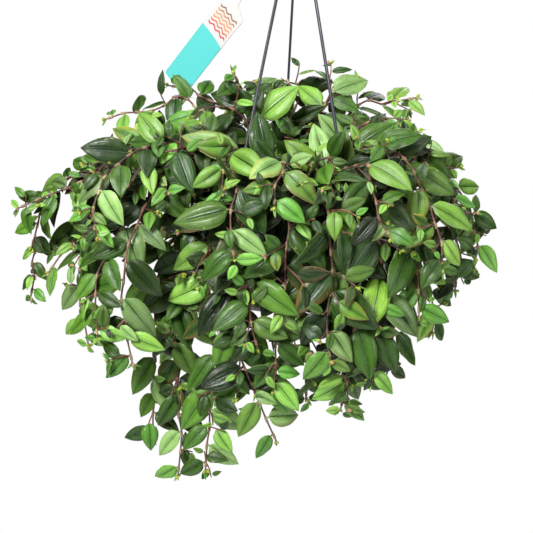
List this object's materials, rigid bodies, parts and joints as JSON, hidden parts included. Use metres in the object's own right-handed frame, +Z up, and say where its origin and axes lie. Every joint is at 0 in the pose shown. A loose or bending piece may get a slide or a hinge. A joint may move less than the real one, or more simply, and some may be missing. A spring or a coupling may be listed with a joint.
{
  "type": "hanging potted plant",
  "caption": "Trailing houseplant in a hanging pot: jointed stems with pointed oval leaves spill over a thin black pot that strands hold under an open hook, with a plain card tag on a strap.",
  "frame": {"origin": "the point inside the hook's bend that bears on whatever the pot hangs from", "axes": "+Z up, the plant's front faces -Y, +X to the right seen from the front"},
  "size_m": [0.5048, 0.3427, 0.6281],
  "materials": {
    "pot_plastic": "satin black moulded plastic",
    "hanger_plastic": "satin slate black moulded plastic",
    "soil": "crumbly peat and bark compost",
    "label_card": "smooth turquoise printed card",
    "leaf": "living leaf and stem with a soft sheen"
  },
  "bodies": {
    "root": {"pot": "pot_plastic", "soil": "soil", "hook": "hanger_plastic", "strand_right": "hanger_plastic", "strand_back": "hanger_plastic", "strand_left": "hanger_plastic", "label": "label_card", "shoot_01": "leaf", "shoot_02": "leaf", "shoot_03": "leaf", "shoot_04": "leaf", "shoot_05": "leaf", "shoot_06": "leaf", "shoot_07": "leaf", "shoot_08": "leaf", "shoot_09": "leaf", "shoot_10": "leaf", "shoot_11": "leaf", "shoot_12": "leaf", "shoot_13": "leaf", "shoot_14": "leaf", "shoot_15": "leaf", "shoot_16": "leaf", "shoot_17": "leaf", "shoot_18": "leaf", "shoot_19": "leaf", "shoot_20": "leaf", "shoot_21": "leaf", "shoot_22": "leaf", "shoot_23": "leaf", "shoot_24": "leaf", "shoot_25": "leaf", "shoot_26": "leaf", "shoot_27": "leaf", "shoot_28": "leaf", "shoot_29": "leaf", "shoot_30": "leaf", "shoot_31": "leaf", "shoot_32": "leaf", "shoot_33": "leaf", "shoot_34": "leaf", "shoot_35": "leaf", "shoot_36": "leaf", "shoot_37": "leaf", "shoot_38": "leaf", "shoot_39": "leaf", "shoot_40": "leaf", "shoot_41": "leaf", "shoot_42": "leaf", "shoot_43": "leaf", "shoot_44": "leaf", "shoot_45": "leaf", "shoot_46": "leaf", "shoot_47": "leaf", "shoot_48": "leaf", "shoot_49": "leaf", "shoot_50": "leaf", "shoot_51": "leaf", "shoot_52": "leaf", "shoot_53": "leaf"}
  },
  "joints": []
}
